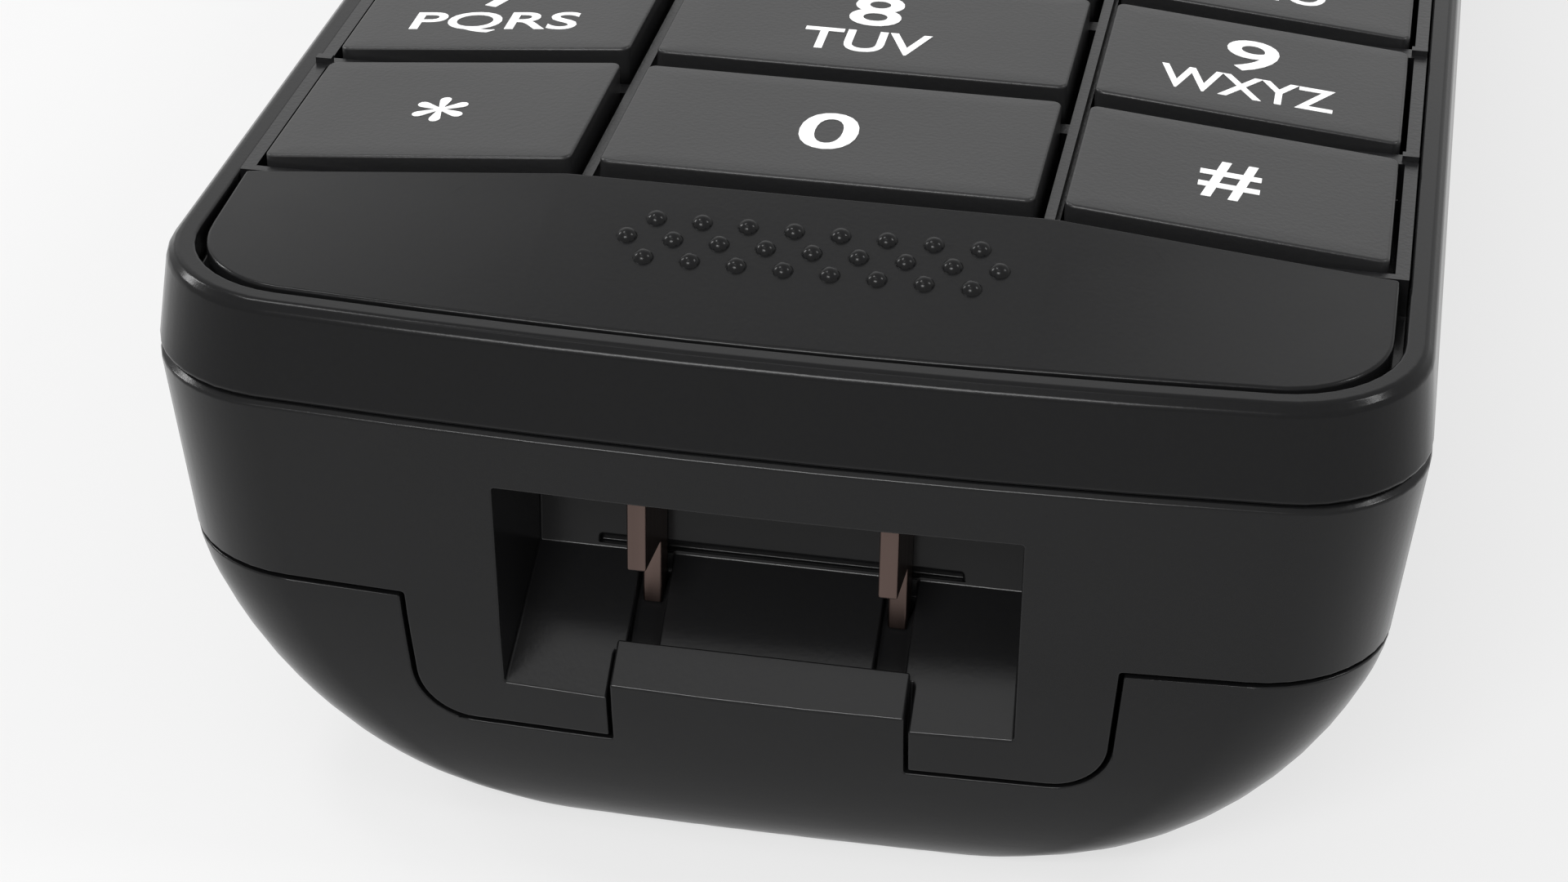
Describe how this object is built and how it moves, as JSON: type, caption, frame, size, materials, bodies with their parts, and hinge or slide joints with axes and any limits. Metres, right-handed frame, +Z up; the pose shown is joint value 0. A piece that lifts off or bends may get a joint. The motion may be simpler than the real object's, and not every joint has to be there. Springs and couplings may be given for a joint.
{
  "type": "cordless telephone handset",
  "caption": "Black cordless telephone handset with number keys, display, charging recess with two contacts in its lower end, and a battery cover that slides off.",
  "frame": {"origin": "under the middle of the handset, on the surface that it lies on with its keys up", "axes": "+X across the handset to the right, +Y along it towards the earpiece, +Z up out of the keys"},
  "size_m": [0.0474, 0.162, 0.0248],
  "materials": {
    "shell_black": "satin moulded plastic, very fine grain",
    "panel_black": "satin moulded plastic",
    "web_black": "satin moulded plastic",
    "key_black": "satin moulded plastic with printed legends",
    "key_green": "satin moulded plastic with a green legend",
    "key_red": "satin moulded plastic with a red legend",
    "lens": "clear with a dark border",
    "lamp_red": "translucent",
    "contact_copper": "dull copper alloy",
    "insulator": "natural nylon",
    "board_green": "lacquered laminate",
    "rubber_grey": "moulded silicone",
    "steel": "plated",
    "cell_wrap": "shrink sleeve",
    "display_glass": "liquid crystal glass",
    "diffuser": "frosted",
    "transducer": "moulded"
  },
  "bodies": {
    "handset": {"front_shell": "shell_black", "rear_shell": "shell_black", "keypad_web": "web_black", "mic_panel": "panel_black", "faceplate": "panel_black", "display_lens": "lens", "charge_contact_left": "contact_copper", "charge_contact_right": "contact_copper", "main_board": "board_green", "key_mat": "rubber_grey", "case_screws": "steel", "battery_cell_left": "cell_wrap", "battery_cell_right": "cell_wrap", "battery_contact_lower": "steel", "battery_contact_upper": "steel", "lcd_module": "display_glass", "light_guide": "diffuser", "shield_can": "steel", "earpiece_receiver": "transducer", "receiver_gasket": "rubber_grey", "microphone": "transducer", "microphone_boot": "rubber_grey", "loudspeaker": "transducer", "speaker_gasket": "rubber_grey", "antenna": "contact_copper", "message_lamp": "lamp_red", "earpiece_grille": "web_black", "contact_carrier": "insulator"},
    "battery_cover": {"battery_cover": "shell_black"},
    "navigator": {"navigator": "key_black"},
    "key_star": {"key_star": "key_black"},
    "key_0": {"key_0": "key_black"},
    "key_hash": {"key_hash": "key_black"},
    "key_7": {"key_7": "key_black"},
    "key_8": {"key_8": "key_black"},
    "key_9": {"key_9": "key_black"},
    "key_4": {"key_4": "key_black"},
    "key_5": {"key_5": "key_black"},
    "key_6": {"key_6": "key_black"},
    "key_1": {"key_1": "key_black"},
    "key_2": {"key_2": "key_black"},
    "key_3": {"key_3": "key_black"},
    "key_redial": {"key_redial": "key_black"},
    "key_speaker": {"key_speaker": "key_black"},
    "key_mute": {"key_mute": "key_black"},
    "key_talk": {"key_talk": "key_green"},
    "key_off": {"key_off": "key_red"},
    "key_soft_left": {"key_soft_left": "key_black"},
    "key_soft_right": {"key_soft_right": "key_black"},
    "key_select": {"key_select": "key_black"}
  },
  "joints": [
    {"name": "battery_cover_slide", "type": "slide", "parent": "handset", "child": "battery_cover", "axis": [0, -1, 0], "range_m": [0, 0.1]},
    {"name": "navigator_rock", "type": "hinge", "parent": "handset", "child": "navigator", "pos_m": [0, -0.0024, 0.0205], "axis": [1, 0, 0], "range_deg": [-2.5, 2.5], "stiffness_Nm_per_rad": 1},
    {"name": "key_star_press", "type": "slide", "parent": "handset", "child": "key_star", "axis": [0, 0, -1], "range_m": [0, 0.0005], "stiffness_N_per_m": 800},
    {"name": "key_0_press", "type": "slide", "parent": "handset", "child": "key_0", "axis": [0, 0, -1], "range_m": [0, 0.0005], "stiffness_N_per_m": 800},
    {"name": "key_hash_press", "type": "slide", "parent": "handset", "child": "key_hash", "axis": [0, 0, -1], "range_m": [0, 0.0005], "stiffness_N_per_m": 800},
    {"name": "key_7_press", "type": "slide", "parent": "handset", "child": "key_7", "axis": [0, 0, -1], "range_m": [0, 0.0005], "stiffness_N_per_m": 800},
    {"name": "key_8_press", "type": "slide", "parent": "handset", "child": "key_8", "axis": [0, 0, -1], "range_m": [0, 0.0005], "stiffness_N_per_m": 800},
    {"name": "key_9_press", "type": "slide", "parent": "handset", "child": "key_9", "axis": [0, 0, -1], "range_m": [0, 0.0005], "stiffness_N_per_m": 800},
    {"name": "key_4_press", "type": "slide", "parent": "handset", "child": "key_4", "axis": [0, 0, -1], "range_m": [0, 0.0005], "stiffness_N_per_m": 800},
    {"name": "key_5_press", "type": "slide", "parent": "handset", "child": "key_5", "axis": [0, 0, -1], "range_m": [0, 0.0005], "stiffness_N_per_m": 800},
    {"name": "key_6_press", "type": "slide", "parent": "handset", "child": "key_6", "axis": [0, 0, -1], "range_m": [0, 0.0005], "stiffness_N_per_m": 800},
    {"name": "key_1_press", "type": "slide", "parent": "handset", "child": "key_1", "axis": [0, 0, -1], "range_m": [0, 0.0005], "stiffness_N_per_m": 800},
    {"name": "key_2_press", "type": "slide", "parent": "handset", "child": "key_2", "axis": [0, 0, -1], "range_m": [0, 0.0005], "stiffness_N_per_m": 800},
    {"name": "key_3_press", "type": "slide", "parent": "handset", "child": "key_3", "axis": [0, 0, -1], "range_m": [0, 0.0005], "stiffness_N_per_m": 800},
    {"name": "key_redial_press", "type": "slide", "parent": "handset", "child": "key_redial", "axis": [0, 0, -1], "range_m": [0, 0.0005], "stiffness_N_per_m": 800},
    {"name": "key_speaker_press", "type": "slide", "parent": "handset", "child": "key_speaker", "axis": [0, 0, -1], "range_m": [0, 0.0005], "stiffness_N_per_m": 800},
    {"name": "key_mute_press", "type": "slide", "parent": "handset", "child": "key_mute", "axis": [0, 0, -1], "range_m": [0, 0.0005], "stiffness_N_per_m": 800},
    {"name": "key_talk_press", "type": "slide", "parent": "handset", "child": "key_talk", "axis": [0, 0, -1], "range_m": [0, 0.0005], "stiffness_N_per_m": 800},
    {"name": "key_off_press", "type": "slide", "parent": "handset", "child": "key_off", "axis": [0, 0, -1], "range_m": [0, 0.0005], "stiffness_N_per_m": 800},
    {"name": "key_soft_left_press", "type": "slide", "parent": "handset", "child": "key_soft_left", "axis": [0, 0, -1], "range_m": [0, 0.0005], "stiffness_N_per_m": 800},
    {"name": "key_soft_right_press", "type": "slide", "parent": "handset", "child": "key_soft_right", "axis": [0, 0, -1], "range_m": [0, 0.0005], "stiffness_N_per_m": 800},
    {"name": "key_select_press", "type": "slide", "parent": "handset", "child": "key_select", "axis": [0, 0, -1], "range_m": [0, 0.0005], "stiffness_N_per_m": 800}
  ]
}
